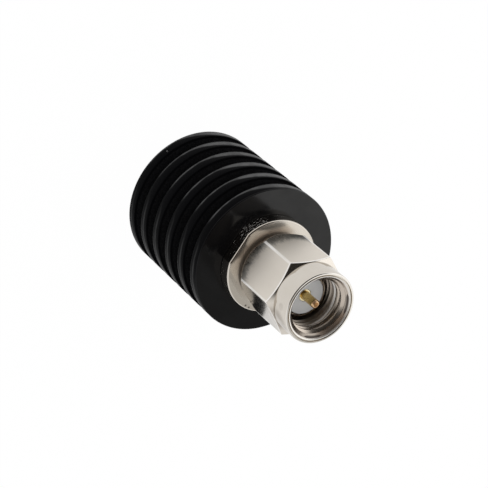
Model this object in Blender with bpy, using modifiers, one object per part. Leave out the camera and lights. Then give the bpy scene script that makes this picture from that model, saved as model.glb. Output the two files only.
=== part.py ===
"""Coaxial terminator: a finned load resistor on a threaded plug connector.

The load stands on the flat rear face of its heat sink. +Z runs along the axis
to the mouth of the coupling nut, and +X is square to a wrench flat.
All sizes are in metres.
"""

import math

import bmesh
import bpy
from mathutils import Matrix

# Heat sink
SINK_DIAMETER = 0.0160
FIN_COUNT = 6
FIN_THICKNESS = 0.0013
FIN_GAP = 0.0015
FIN_EDGE_BREAK = 0.00012
CORE_DIAMETER = 0.0104
CHAMBER_FLOOR = 0.0031

# Connector body, measured from the front face of the heat sink
SHANK_DIAMETER = 0.0068
SHANK_LENGTH = 0.0042
FLANGE_RIM = 0.00057
FLANGE_FLAT_DEPTH = 0.0003
FLANGE_THICKNESS = 0.0015
FLANGE_EDGE_BREAK = 0.00015
BARREL_STEP = 0.00036
BARREL_LENGTH = 0.0041
NOSE_DIAMETER = 0.00458
NOSE_WALL = 0.0002
NOSE_LENGTH = 0.0025
NOSE_EDGE_BREAK = 0.00004

# Dielectrics and centre contact
INSULATOR_STEP = 0.0003
INSULATOR_LENGTH = 0.0070
CONTACT_DIAMETER = 0.00127
CONTACT_COLLAR_STEP = 0.0004
CONTACT_COLLAR_LENGTH = 0.0005
CONTACT_RECESS = 0.00003
PIN_DIAMETER = 0.00092
PIN_LENGTH = 0.00215
PIN_TIP_DIAMETER = 0.00048
PIN_TIP_LENGTH = 0.00022
SOCKET_DEPTH = 0.0012
SOCKET_PROUD = 0.0003
SOCKET_SLOT_LENGTH = 0.0010
SLOT_WIDTH = 0.00016

# Coupling nut, its thread sized to clear the barrel and its hexagon to the mouth
NUT_LENGTH = 0.00915
HEX_LENGTH = 0.00645
NUT_EDGE_BREAK = 0.0002
NUT_SHOULDER_STEP = 0.00007
NUT_REAR_STEP = 0.00017
NUT_REAR_CHAMFER = math.radians(30)
NUT_END_PLAY = 0.00035
NUT_REST_TURN = math.radians(2)
THREAD_CLEARANCE = 0.00017
THREAD_DEPTH = 0.000355
THREAD_LENGTH = 0.00345
RELIEF_LENGTH = 0.00135
MOUTH_LEAD = 0.00025
MOUTH_LEAD_LENGTH = 0.0007
MOUTH_LIP_WIDTH = 0.00016
MOUTH_LIP_HEIGHT = 0.00009
MOUTH_WALL = 0.000545
MOUTH_EDGE_BREAK = 0.0001

# Retaining ring and seal
RING_WIRE_DIAMETER = 0.0006
RING_HEIGHT = 0.0021
RING_BITE = 0.00030
RING_OPENING = math.radians(24)
SEAL_HEIGHT = 0.0006
SEAL_ROUNDING = 0.00018

# Load resistor and the parts that hold it
RESISTOR_DIAMETER = 0.0016
RESISTOR_LENGTH = 0.0062
FILM_THICKNESS = 0.00005
CAP_WALL = 0.00016
CAP_FLOOR = 0.0003
CAP_GRIP = 0.0010
CAP_STUB_DIAMETER = 0.0006
CAP_STUB_LENGTH = 0.0010
COLLET_WALL = 0.00022
COLLET_LENGTH = 0.0016
COLLET_SLOT_LENGTH = 0.0011
SLEEVE_STEP = 0.0005
SLEEVE_WALL = 0.0009

# Clearances, each side
FIT_GAP = 0.00004
SEAT_GAP = 0.00003
RUNNING_GAP = 0.00007
GROOVE_PLAY = 0.00006

# Smoothness of the round pieces
LARGE_STEPS = 48
SMALL_STEPS = 24
TAPER_STEPS = 8
EDGE_STEPS = 2
SHARP_ANGLE = math.radians(25)
MERGE_DISTANCE = 1e-7

# Places along the axis
SINK_LENGTH = FIN_COUNT * FIN_THICKNESS + (FIN_COUNT - 1) * FIN_GAP
FLANGE_FACE = FLANGE_THICKNESS
BARREL_END = FLANGE_FACE + BARREL_LENGTH
NOSE_FACE = BARREL_END + NOSE_LENGTH
INSULATOR_SEAT = NOSE_FACE - INSULATOR_LENGTH
BEAD_FACE = INSULATOR_SEAT - CONTACT_COLLAR_LENGTH - 2 * SEAT_GAP
NUT_REAR = FLANGE_FACE + NUT_END_PLAY
SOCKET_END = -SHANK_LENGTH - SOCKET_PROUD
CAP_FACE = SOCKET_END - SEAT_GAP

# Radii that follow from a neighbour
INSULATOR_BORE_RADIUS = NOSE_DIAMETER / 2 - NOSE_WALL
INSULATOR_RADIUS = INSULATOR_BORE_RADIUS - FIT_GAP
REAR_BEAD_RADIUS = INSULATOR_RADIUS - INSULATOR_STEP
REAR_BORE_RADIUS = REAR_BEAD_RADIUS + FIT_GAP
COLLAR_RADIUS = CONTACT_DIAMETER / 2 + CONTACT_COLLAR_STEP
BARREL_RADIUS = NOSE_DIAMETER / 2 + BARREL_STEP
NUT_BORE_RADIUS = BARREL_RADIUS + RUNNING_GAP
THREAD_MINOR_RADIUS = BARREL_RADIUS + THREAD_CLEARANCE
THREAD_MAJOR_RADIUS = THREAD_MINOR_RADIUS + THREAD_DEPTH
MOUTH_RADIUS = THREAD_MAJOR_RADIUS + MOUTH_LEAD
NUT_FLAT_RADIUS = MOUTH_RADIUS + MOUTH_WALL
NUT_CORNER_RADIUS = NUT_FLAT_RADIUS / math.cos(math.radians(30))
NUT_NOSE_RADIUS = NUT_FLAT_RADIUS - NUT_SHOULDER_STEP
NUT_REAR_RADIUS = NUT_FLAT_RADIUS - NUT_REAR_STEP
FLANGE_RADIUS = NUT_CORNER_RADIUS + FLANGE_RIM
FLANGE_FLAT_RADIUS = FLANGE_RADIUS - FLANGE_FLAT_DEPTH
SHANK_BORE_RADIUS = SHANK_DIAMETER / 2 + FIT_GAP
SLEEVE_RADIUS = SHANK_DIAMETER / 2 - SLEEVE_STEP
CHAMBER_RADIUS = SLEEVE_RADIUS + FIT_GAP
TAPER_MOUTH_RADIUS = SLEEVE_RADIUS - SLEEVE_WALL
RING_RADIUS = BARREL_RADIUS - RING_BITE + RING_WIRE_DIAMETER / 2
CAP_BORE_RADIUS = RESISTOR_DIAMETER / 2 + FIT_GAP
CAP_RADIUS = CAP_BORE_RADIUS + CAP_WALL
COLLET_BORE_RADIUS = CAP_RADIUS + FIT_GAP
COLLET_RADIUS = COLLET_BORE_RADIUS + COLLET_WALL
SLEEVE_BORE_RADIUS = COLLET_RADIUS + FIT_GAP


def remove_scene_objects():
    for obj in list(bpy.data.objects):
        bpy.data.objects.remove(obj, do_unlink=True)


def make_collection(name):
    collection = bpy.data.collections.new(name)
    bpy.context.scene.collection.children.link(collection)
    return collection


def make_material(name, color, roughness, metallic):
    material = bpy.data.materials.new(name)
    material.use_nodes = True
    shader = material.node_tree.nodes["Principled BSDF"]
    shader.inputs["Base Color"].default_value = (*color, 1.0)
    shader.inputs["Roughness"].default_value = roughness
    shader.inputs["Metallic"].default_value = metallic
    material.diffuse_color = (*color, 1.0)
    return material


def add_datum(name, height, parent=None):
    """An empty on the axis that carries the pieces measured from it."""
    datum = bpy.data.objects.new(name, None)
    datum.location.z = height
    datum.parent = parent
    parts.objects.link(datum)
    return datum


def add_object(name, mesh, datum, material=None):
    """A piece of the object, or a cutter where it has no material."""
    obj = bpy.data.objects.new(name, mesh)
    obj.parent = datum
    if material:
        mesh.materials.append(material)
        parts.objects.link(obj)
    else:
        obj.hide_render = True
        obj.display_type = "WIRE"
        cutters.objects.link(obj)
    return obj


def turn(name, profile, datum, material=None, steps=LARGE_STEPS, ring=False):
    """Turn a profile of (radius, height) points about the axis.

    The profile runs down the outer side. A ring closes on its first point.
    """
    edges = [(i, i + 1) for i in range(len(profile) - 1)]
    if ring:
        edges.append((len(profile) - 1, 0))
    mesh = bpy.data.meshes.new(name)
    mesh.from_pydata([(radius, 0, height) for radius, height in profile], edges, [])
    obj = add_object(name, mesh, datum, material)
    screw = obj.modifiers.new("Turned", "SCREW")
    screw.steps = steps
    screw.render_steps = steps
    screw.use_merge_vertices = True
    screw.merge_threshold = MERGE_DISTANCE
    return obj


def add_box(name, size, centre, datum):
    """A cutter box with the given sizes along X, Y and Z."""
    box = bmesh.new()
    bmesh.ops.create_cube(box, size=1.0)
    bmesh.ops.scale(box, vec=size, verts=box.verts)
    bmesh.ops.translate(box, vec=centre, verts=box.verts)
    mesh = bpy.data.meshes.new(name)
    box.to_mesh(mesh)
    box.free()
    return add_object(name, mesh, datum)


def combine(obj, cutter, operation):
    boolean = obj.modifiers.new(cutter.name, "BOOLEAN")
    boolean.object = cutter
    boolean.operation = operation
    boolean.solver = "EXACT"


def settle(obj):
    """Make the modifiers' result the mesh, smooth where round and sharp at edges."""
    depsgraph = bpy.context.evaluated_depsgraph_get()
    mesh = bpy.data.meshes.new_from_object(obj.evaluated_get(depsgraph))
    mesh.name = obj.name
    obj.modifiers.clear()
    obj.data = mesh
    mesh.shade_smooth()
    mesh.set_sharp_from_angle(angle=SHARP_ANGLE)


def fin_profile(index):
    """The outer edge of one fin, from its front face to its rear face."""
    radius = SINK_DIAMETER / 2
    front = SINK_LENGTH - index * (FIN_THICKNESS + FIN_GAP)
    rear = front - FIN_THICKNESS
    return [
        (radius - FIN_EDGE_BREAK, front),
        (radius, front - FIN_EDGE_BREAK),
        (radius, rear + FIN_EDGE_BREAK),
        (radius - FIN_EDGE_BREAK, rear),
    ]


def make_heat_sink(material):
    """One turned piece: fins round a core that is bored from the front."""
    shank_floor = SINK_LENGTH - SHANK_LENGTH - SEAT_GAP
    profile = [
        (0, CHAMBER_FLOOR),
        (CHAMBER_RADIUS, CHAMBER_FLOOR),
        (CHAMBER_RADIUS, shank_floor),
        (SHANK_BORE_RADIUS, shank_floor),
        (SHANK_BORE_RADIUS, SINK_LENGTH),
    ]
    for index in range(FIN_COUNT):
        profile += fin_profile(index)
        if index < FIN_COUNT - 1:
            groove_front = profile[-1][1]
            profile.append((CORE_DIAMETER / 2, groove_front))
            profile.append((CORE_DIAMETER / 2, groove_front - FIN_GAP))
    profile.append((0, 0))
    settle(turn("heat_sink", profile, sink_datum, material))


def make_connector_body(material):
    """Threaded shank, wrench flange, barrel for the nut and the thin nose."""
    shank = SHANK_DIAMETER / 2
    nose = NOSE_DIAMETER / 2
    groove_floor = RING_RADIUS - RING_WIRE_DIAMETER / 2 - GROOVE_PLAY
    groove_centre = FLANGE_FACE + RING_HEIGHT
    groove_half = RING_WIRE_DIAMETER / 2 + GROOVE_PLAY
    body = turn("connector_body", [
        (INSULATOR_BORE_RADIUS, NOSE_FACE),
        (nose - NOSE_EDGE_BREAK, NOSE_FACE),
        (nose, NOSE_FACE - NOSE_EDGE_BREAK),
        (nose, BARREL_END),
        (BARREL_RADIUS, BARREL_END),
        (BARREL_RADIUS, groove_centre + groove_half),
        (groove_floor, groove_centre + groove_half),
        (groove_floor, groove_centre - groove_half),
        (BARREL_RADIUS, groove_centre - groove_half),
        (BARREL_RADIUS, FLANGE_FACE),
        (FLANGE_RADIUS - FLANGE_EDGE_BREAK, FLANGE_FACE),
        (FLANGE_RADIUS, FLANGE_FACE - FLANGE_EDGE_BREAK),
        (FLANGE_RADIUS, SEAT_GAP),
        (shank, SEAT_GAP),
        (shank, -SHANK_LENGTH),
        (REAR_BORE_RADIUS, -SHANK_LENGTH),
        (REAR_BORE_RADIUS, INSULATOR_SEAT),
        (INSULATOR_BORE_RADIUS, INSULATOR_SEAT),
    ], face_datum, material, ring=True)
    between_flats = (2 * FLANGE_FLAT_RADIUS, 4 * FLANGE_RADIUS, 2 * (NOSE_FACE + SHANK_LENGTH))
    flats = add_box("flange_flats", between_flats, (0, 0, 0), face_datum)
    combine(body, flats, "INTERSECT")
    settle(body)


def make_front_insulator(material):
    """Dielectric between the contact and the nose, seated on the step in the body."""
    bore = CONTACT_DIAMETER / 2 + FIT_GAP
    outer = INSULATOR_RADIUS
    rear = INSULATOR_SEAT + SEAT_GAP
    profile = [(bore, NOSE_FACE), (outer, NOSE_FACE), (outer, rear), (bore, rear)]
    settle(turn("front_insulator", profile, face_datum, material, ring=True))


def make_rear_insulator(material):
    """Bead behind the contact's collar that locks the contact in the shank."""
    bore = CONTACT_DIAMETER / 2 + FIT_GAP
    outer = REAR_BEAD_RADIUS
    profile = [(bore, BEAD_FACE), (outer, BEAD_FACE), (outer, -SHANK_LENGTH), (bore, -SHANK_LENGTH)]
    settle(turn("rear_insulator", profile, face_datum, material, ring=True))


def make_centre_contact(material):
    """Pin in front, collar between the insulators, slotted socket at the rear."""
    pin = PIN_DIAMETER / 2
    tip = PIN_TIP_DIAMETER / 2
    line = CONTACT_DIAMETER / 2
    socket = CAP_STUB_DIAMETER / 2 + FIT_GAP
    shoulder = NOSE_FACE - CONTACT_RECESS
    pin_end = shoulder + PIN_LENGTH
    collar_front = INSULATOR_SEAT - SEAT_GAP / 2
    collar_rear = BEAD_FACE + SEAT_GAP / 2
    contact = turn("centre_contact", [
        (0, pin_end),
        (tip, pin_end),
        (pin, pin_end - PIN_TIP_LENGTH),
        (pin, shoulder),
        (line, shoulder),
        (line, collar_front),
        (COLLAR_RADIUS, collar_front),
        (COLLAR_RADIUS, collar_rear),
        (line, collar_rear),
        (line, SOCKET_END),
        (socket, SOCKET_END),
        (socket, SOCKET_END + SOCKET_DEPTH),
        (0, SOCKET_END + SOCKET_DEPTH),
    ], face_datum, material, steps=SMALL_STEPS)
    cut_cross_slots(contact, CONTACT_DIAMETER, SOCKET_END, SOCKET_SLOT_LENGTH)
    settle(contact)


def cut_cross_slots(obj, diameter, end, depth):
    """Two crossing slots of the given depth in the end of a spring sleeve."""
    span = 2 * diameter
    for label, size in (("a", (span, SLOT_WIDTH)), ("b", (SLOT_WIDTH, span))):
        slot = add_box(f"{obj.name}_slot_{label}", (*size, 2 * depth), (0, 0, end), face_datum)
        combine(obj, slot, "DIFFERENCE")


def make_coupling_nut(material):
    """Hexagon with broken edges, a round nose and the bore for barrel and thread."""
    hexagon = bmesh.new()
    placed = Matrix.Rotation(NUT_REST_TURN, 4, "Z")
    placed.translation.z = HEX_LENGTH / 2
    bmesh.ops.create_cone(hexagon, cap_ends=True, segments=6, radius1=NUT_CORNER_RADIUS,
                          radius2=NUT_CORNER_RADIUS, depth=HEX_LENGTH, matrix=placed)
    mesh = bpy.data.meshes.new("coupling_nut")
    hexagon.to_mesh(mesh)
    hexagon.free()
    nut = add_object("coupling_nut", mesh, nut_datum, material)
    bevel = nut.modifiers.new("Broken edges", "BEVEL")
    bevel.width = NUT_EDGE_BREAK
    bevel.segments = EDGE_STEPS

    clear = 2 * NUT_CORNER_RADIUS
    chamfer_end = (clear - NUT_REAR_RADIUS) / math.tan(NUT_REAR_CHAMFER)
    rear_cone = turn("nut_rear_cone", [
        (0, chamfer_end + clear),
        (clear, chamfer_end + clear),
        (clear, chamfer_end),
        (NUT_REAR_RADIUS, 0),
        (0, 0),
    ], nut_datum)
    combine(nut, rear_cone, "INTERSECT")

    lip = MOUTH_RADIUS + MOUTH_LIP_WIDTH
    ledge = NUT_LENGTH - MOUTH_LIP_HEIGHT
    nose = turn("nut_nose", [
        (0, NUT_LENGTH),
        (lip, NUT_LENGTH),
        (lip, ledge),
        (NUT_NOSE_RADIUS - MOUTH_EDGE_BREAK, ledge),
        (NUT_NOSE_RADIUS, ledge - MOUTH_EDGE_BREAK),
        (NUT_NOSE_RADIUS, HEX_LENGTH / 2),
        (0, HEX_LENGTH / 2),
    ], nut_datum)
    combine(nut, nose, "UNION")
    combine(nut, make_nut_bore(), "DIFFERENCE")
    settle(nut)


def make_nut_bore():
    """The space inside the nut: barrel bore with ring groove, relief and thread."""
    relief = THREAD_MAJOR_RADIUS + FIT_GAP
    thread_end = NUT_LENGTH - THREAD_LENGTH
    relief_end = thread_end - RELIEF_LENGTH
    ring_centre = FLANGE_FACE + RING_HEIGHT - NUT_REAR
    ring_groove = RING_RADIUS + RING_WIRE_DIAMETER / 2 + GROOVE_PLAY
    groove_front = ring_centre + RING_WIRE_DIAMETER / 2 + GROOVE_PLAY
    groove_rear = ring_centre - RING_WIRE_DIAMETER / 2 - NUT_END_PLAY
    past = NUT_LENGTH
    return turn("nut_bore", [
        (0, NUT_LENGTH + past),
        (MOUTH_RADIUS, NUT_LENGTH + past),
        (MOUTH_RADIUS, NUT_LENGTH),
        (THREAD_MINOR_RADIUS, NUT_LENGTH - MOUTH_LEAD_LENGTH),
        (THREAD_MINOR_RADIUS, thread_end),
        (relief, thread_end),
        (relief, relief_end),
        (NUT_BORE_RADIUS, relief_end),
        (NUT_BORE_RADIUS, groove_front),
        (ring_groove, groove_front),
        (ring_groove, groove_rear),
        (NUT_BORE_RADIUS, groove_rear),
        (NUT_BORE_RADIUS, -past),
        (0, -past),
    ], nut_datum)


def make_retaining_ring(material):
    """Round spring wire bent to an open ring, in the grooves of body and nut."""
    curve = bpy.data.curves.new("retaining_ring", "CURVE")
    curve.dimensions = "3D"
    curve.bevel_depth = RING_WIRE_DIAMETER / 2
    curve.bevel_resolution = 2
    curve.use_fill_caps = True
    spline = curve.splines.new("POLY")
    spline.points.add(LARGE_STEPS - 1)
    sweep = 2 * math.pi - RING_OPENING
    for index, point in enumerate(spline.points):
        angle = RING_OPENING / 2 + sweep * index / (LARGE_STEPS - 1)
        point.co = (RING_RADIUS * math.cos(angle), RING_RADIUS * math.sin(angle), 0, 1)
    ring = bpy.data.objects.new("retaining_ring", curve)
    ring.location.z = FLANGE_FACE + RING_HEIGHT
    ring.parent = face_datum
    curve.materials.append(material)
    parts.objects.link(ring)


def make_seal_ring(material):
    """Rubber washer round the foot of the nose, against the end of the barrel."""
    inner = NOSE_DIAMETER / 2 + FIT_GAP
    outer = BARREL_RADIUS
    foot = BARREL_END + SEAT_GAP
    top = foot + SEAL_HEIGHT
    settle(turn("seal_ring", [
        (inner, top),
        (outer - SEAL_ROUNDING, top),
        (outer, top - SEAL_ROUNDING),
        (outer, foot),
        (inner, foot),
    ], face_datum, material, ring=True))


def make_resistor_rod(material):
    """Ceramic rod between the floors of the two caps."""
    front = CAP_FACE - CAP_FLOOR - SEAT_GAP
    radius = RESISTOR_DIAMETER / 2
    profile = [(0, front), (radius, front), (radius, front - RESISTOR_LENGTH), (0, front - RESISTOR_LENGTH)]
    settle(turn("resistor_rod", profile, face_datum, material, steps=SMALL_STEPS))


def make_resistor_film(material):
    """Glazed resistance film on the rod between the rims of the caps."""
    front = CAP_FACE - CAP_FLOOR - CAP_GRIP - 2 * SEAT_GAP
    rear = CAP_FACE - CAP_FLOOR - RESISTOR_LENGTH + CAP_GRIP
    inner = RESISTOR_DIAMETER / 2 + FIT_GAP
    outer = inner + FILM_THICKNESS
    profile = [(inner, front), (outer, front), (outer, rear), (inner, rear)]
    settle(turn("resistor_film", profile, face_datum, material, steps=SMALL_STEPS, ring=True))


def make_input_cap(material):
    """Metal cap on the front of the rod, with a stub in the contact's socket."""
    stub = CAP_STUB_DIAMETER / 2
    floor = CAP_FACE - CAP_FLOOR
    settle(turn("input_cap", [
        (0, CAP_FACE + CAP_STUB_LENGTH),
        (stub, CAP_FACE + CAP_STUB_LENGTH),
        (stub, CAP_FACE),
        (CAP_RADIUS, CAP_FACE),
        (CAP_RADIUS, floor - CAP_GRIP),
        (CAP_BORE_RADIUS, floor - CAP_GRIP),
        (CAP_BORE_RADIUS, floor),
        (0, floor),
    ], face_datum, material, steps=SMALL_STEPS))


def ground_cap_end():
    """Height of the rear face of the cap on the grounded end of the rod."""
    return CAP_FACE - 2 * CAP_FLOOR - RESISTOR_LENGTH - 2 * SEAT_GAP


def make_ground_cap(material):
    end = ground_cap_end()
    floor = end + CAP_FLOOR
    settle(turn("ground_cap", [
        (0, floor),
        (CAP_BORE_RADIUS, floor),
        (CAP_BORE_RADIUS, floor + CAP_GRIP),
        (CAP_RADIUS, floor + CAP_GRIP),
        (CAP_RADIUS, end),
        (0, end),
    ], face_datum, material, steps=SMALL_STEPS))


def make_ground_collet(material):
    """Slotted spring collar between the ground cap and the sleeve."""
    rear = ground_cap_end()
    front = rear + COLLET_LENGTH
    profile = [
        (COLLET_BORE_RADIUS, front),
        (COLLET_RADIUS, front),
        (COLLET_RADIUS, rear),
        (COLLET_BORE_RADIUS, rear),
    ]
    collet = turn("ground_collet", profile, face_datum, material, steps=SMALL_STEPS, ring=True)
    cut_cross_slots(collet, 2 * COLLET_RADIUS, front, COLLET_SLOT_LENGTH)
    settle(collet)


def make_taper_sleeve(material):
    """Outer conductor round the resistor, its bore narrowing exponentially."""
    front = -SHANK_LENGTH - SEAT_GAP
    rear = CHAMBER_FLOOR - SINK_LENGTH + SEAT_GAP
    taper_end = ground_cap_end() + COLLET_LENGTH + SEAT_GAP
    widening = TAPER_MOUTH_RADIUS / SLEEVE_BORE_RADIUS
    profile = [(SLEEVE_RADIUS, front), (SLEEVE_RADIUS, rear), (SLEEVE_BORE_RADIUS, rear)]
    for step in range(TAPER_STEPS + 1):
        share = step / TAPER_STEPS
        radius = SLEEVE_BORE_RADIUS * widening ** share
        profile.append((radius, taper_end + (front - taper_end) * share))
    settle(turn("taper_sleeve", profile, face_datum, material, ring=True))


remove_scene_objects()
parts = make_collection("coaxial_terminator")
cutters = make_collection("cutters")

sink_datum = add_datum("sink_datum", 0)
face_datum = add_datum("face_datum", SINK_LENGTH, sink_datum)
nut_datum = add_datum("nut_datum", NUT_REAR, face_datum)

make_heat_sink(make_material("black_anodised_aluminium", (0.012, 0.012, 0.014), 0.30, 0.4))
make_connector_body(make_material("nickel_plated_body", (0.66, 0.63, 0.59), 0.25, 1.0))
make_coupling_nut(make_material("nickel_plated_nut", (0.68, 0.65, 0.61), 0.28, 1.0))
make_retaining_ring(make_material("spring_bronze", (0.62, 0.42, 0.24), 0.35, 1.0))
make_seal_ring(make_material("black_rubber", (0.02, 0.02, 0.02), 0.75, 0.0))
make_front_insulator(make_material("white_dielectric", (0.62, 0.62, 0.62), 0.45, 0.0))
make_rear_insulator(make_material("white_bead", (0.70, 0.70, 0.69), 0.45, 0.0))
make_centre_contact(make_material("gold_plate", (0.83, 0.58, 0.22), 0.22, 1.0))
make_resistor_rod(make_material("white_ceramic", (0.80, 0.79, 0.75), 0.55, 0.0))
make_resistor_film(make_material("black_film", (0.03, 0.03, 0.035), 0.35, 0.0))
make_input_cap(make_material("silver_input_cap", (0.75, 0.74, 0.71), 0.25, 1.0))
make_ground_cap(make_material("silver_ground_cap", (0.74, 0.73, 0.70), 0.25, 1.0))
make_ground_collet(make_material("sprung_brass", (0.66, 0.50, 0.25), 0.30, 1.0))
make_taper_sleeve(make_material("turned_brass", (0.70, 0.54, 0.28), 0.30, 1.0))
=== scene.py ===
"""Looks of the coaxial terminator: finished pieces, their surfaces, the light and the camera.

The load stands on the rear face of its heat sink with its axis along +Z.
All sizes are in metres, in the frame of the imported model.
"""

import math

import bmesh
import bpy
from mathutils import Matrix, Vector


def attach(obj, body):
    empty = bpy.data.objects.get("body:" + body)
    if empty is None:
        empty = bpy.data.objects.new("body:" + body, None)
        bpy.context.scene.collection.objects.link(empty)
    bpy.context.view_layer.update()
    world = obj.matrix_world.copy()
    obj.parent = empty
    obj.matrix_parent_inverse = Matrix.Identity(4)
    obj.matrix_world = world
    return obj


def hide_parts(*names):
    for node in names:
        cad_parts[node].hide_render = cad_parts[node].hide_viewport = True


# Heat sink
SINK_RADIUS = 0.0080
SINK_LENGTH = 0.0153
FIN_COUNT = 6
FIN_THICKNESS = 0.0013
FIN_PITCH = 0.0028
FIN_EDGE = 0.00012
# Painted highlight on each rim: heights above the rim's rear edge and half widths of its narrow and wide
# parts, how far a pattern shifts it, and where the painted highlight line along the rear edge fades out
RIM_LINE_HEIGHT = 0.00014
RIM_LINE_HALF = 0.00019
RIM_BAND_HEIGHT = 0.00060
RIM_BAND_HALF = 0.00058
RIM_WANDER = 0.00018
REAR_LINE_FADE = (0.00005, 0.00018)
CORE_RADIUS = 0.0052
SHANK_BORE_RADIUS = 0.00344
SHANK_FLOOR = 0.01107
CHAMBER_RADIUS = 0.00294
CHAMBER_FLOOR = 0.0031

# Connector body
SHANK_RADIUS = 0.0034
SHANK_END = 0.0111
REAR_BORE_RADIUS = 0.00179
FLANGE_RADIUS = 0.005154
FLANGE_FLAT_RADIUS = 0.004854
FLANGE_FOOT = 0.01533
FLANGE_FACE = 0.0168
FLANGE_EDGE = 0.00020
BARREL_RADIUS = 0.00265
BARREL_END = 0.0209
BARREL_GROOVE_CENTRE = 0.0189
BARREL_GROOVE_HALF = 0.00036
RING_GROOVE_RADIUS = 0.00229
NOSE_RADIUS = 0.00229
NOSE_FACE = 0.0234
NOSE_EDGE = 0.00002
INSULATOR_BORE_RADIUS = 0.00209
INSULATOR_SEAT = 0.0164

# Coupling nut
NUT_FLAT_RADIUS = 0.00397
NUT_REAR = 0.01715
NUT_FRONT = 0.0239
NUT_FRONT_CHAMFER = math.radians(27)
NUT_MOUTH = 0.0263
NUT_TURN = math.radians(2)
NUT_EDGE = 0.00018
NUT_MATT_CORNER = math.radians(-28)
NUT_LOWER_FACET = math.radians(62)
NUT_NOSE_RADIUS = 0.0039
NUT_REAR_RADIUS = 0.0038
NUT_REAR_CHAMFER = math.radians(30)
NUT_BORE_RADIUS = 0.00272
MOUTH_RADIUS = 0.00340
MOUTH_LEAD_LENGTH = 0.0007
MOUTH_GROOVE_RADIUS = 0.00359
MOUTH_GROOVE_HALF = 0.00008
MOUTH_GROOVE_DEPTH = 0.00015
MOUTH_EDGE = 0.00014
MOUTH_INNER_EDGE = 0.00012
# Rounding of the inner edge of the mouth: (inwards, down) in shares of its size
MOUTH_INNER_STEPS = ((0, 0), (0.60, 0.12), (1.15, 0.45), (1.60, 0.95))
THREAD_MINOR_RADIUS = 0.00282
THREAD_MAJOR_RADIUS = 0.003175
THREAD_PITCH = 0.0254 / 36
THREAD_ROOT_FLAT = THREAD_PITCH / 8
THREAD_END = 0.02285
THREAD_CREST_HEIGHT = 0.02332
THREAD_START = math.radians(170)
RELIEF_RADIUS = 0.003215
RELIEF_END = 0.0215
GROOVE_FRONT = 0.01926
GROOVE_REAR = 0.01825
GROOVE_RADIUS = 0.00301

# Dielectric, contact and seal
INSULATOR_RADIUS = 0.00205
CONTACT_RADIUS = 0.000635
CONTACT_BORE_RADIUS = 0.000675
COLLAR_RADIUS = 0.001035
COLLAR_FRONT = 0.016385
COLLAR_REAR = 0.015855
SHOULDER = 0.02337
PIN_RADIUS = 0.00046
PIN_END = 0.02552
PIN_TIP_RADIUS = 0.00037
PIN_TIP_LENGTH = 0.00018
PIN_DOME_HEIGHT = 0.00008
SOCKET_END = 0.0108
SOCKET_RADIUS = 0.00034
SOCKET_DEPTH = 0.0012
SOCKET_SLOT_LENGTH = 0.0010
SLOT_WIDTH = 0.00016
SEAL_INNER_RADIUS = 0.00233
SEAL_FOOT = 0.02093
SEAL_TOP = 0.02153
SEAL_EDGE = 0.00018

# Camera, taken from the circles in the photograph
CAMERA_PLACE = Vector((0.12369, -0.02165, 0.16022))
CAMERA_RIGHT = Vector((-0.68156, -0.54781, 0.48516))
CAMERA_UP = Vector((0.36474, -0.82909, -0.42376))
CAMERA_LENS = 138.14

# Studio light. A wall has a direction as (azimuth, elevation) and the half widths between which it
# fades out, and all walls fade in between the two elevations of WALL_FOOT, in degrees.
BROWN_WALL = (-25, 35)
BROWN_WALL_SPREAD = (40, 60)
DARK_WALL = (-50, 70)
DARK_WALL_SPREAD = (33, 49)
GREY_WALL = (170, 50)
GREY_WALL_SPREAD = (22, 45)
WALL_FOOT = (10, 24)
WHITE = (1.0, 1.0, 1.0)
GREY_WALL_COLOUR = (0.58, 0.57, 0.545)
BROWN_WALL_COLOUR = (0.27, 0.215, 0.175)
DARK_WALL_COLOUR = (0.030, 0.027, 0.024)
CARD_SIZE = (0.16, 0.12)
CARD_DISTANCE = 0.12
CARD_POWER = 0.033
FLOOR_SIZE = 1.5
FLOOR_COLOUR = (0.90, 0.90, 0.90, 1.0)
FLOOR_GLOW = 0.98
FLOOR_MIRRORED_GLOW = 0.92

# Radius at which the rounded corners of the hexagon begin
NUT_CORNER_START = math.hypot(NUT_FLAT_RADIUS, NUT_FLAT_RADIUS * math.tan(math.radians(30)) - NUT_EDGE)

# Where the finish and the painted light of the nut change: heights between which each look fades in or out,
# how far the patterns shift them, and how steeply the top of the painted dark reflection rises across its
# facet
NUT_MATT_FADE = (0.0174, 0.0191)
NUT_BRIGHT_CORNER_FADE = (0.0195, 0.0220)
NUT_HATCH_SHIFT = 0.0014
NUT_PATCH_SHIFT = 0.0006
NUT_REFLECTION_FOOT = (0.0180, 0.0204)
NUT_REFLECTION_TOP = (0.0214, 0.0238)
NUT_REFLECTION_SHIFT = 0.0012
NUT_REFLECTION_SLOPE = 0.45

# Single marks of use and spots of painted shade: their places and sizes, and how strong each nose spot is
FLANGE_PITS = ((0.00008, 0.00484, FLANGE_FACE), (-0.00043, 0.00488, FLANGE_FACE))
FLANGE_PIT_SIZE = 0.00015
FLANGE_SCUFF = (0.0044, -0.0027, 0.0160)
FLANGE_SCUFF_SIZE = 0.0022
SINK_SPECK = (0.00733, -0.00321, 0.00081)
SINK_SPECK_SIZE = 0.00007
SINK_DULL_SIDE = math.radians(70)
# Painted shade: dark crescents in the mouth where the first thread groove lies in shadow
MOUTH_SHADE_SPOTS = (((-0.00283, -0.00163, 0.02614), 0.00100),
                ((-0.00144, 0.00296, 0.02616), 0.00090))
MOUTH_SHADE_HEIGHT = NUT_MOUTH - 0.00019
MOUTH_SHADE_HALF = 0.00019
# The first nose spot is painted shade at the lower end of the nose with a smudge in it, the second a small
# smudge
NOSE_SHADE_AND_SMUDGE_SPOTS = (((0.0020, 0.0035, 0.0244), 0.0021, 0.75),
                ((0.00344, 0.00184, 0.0252), 0.00050, 0.30))
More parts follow.
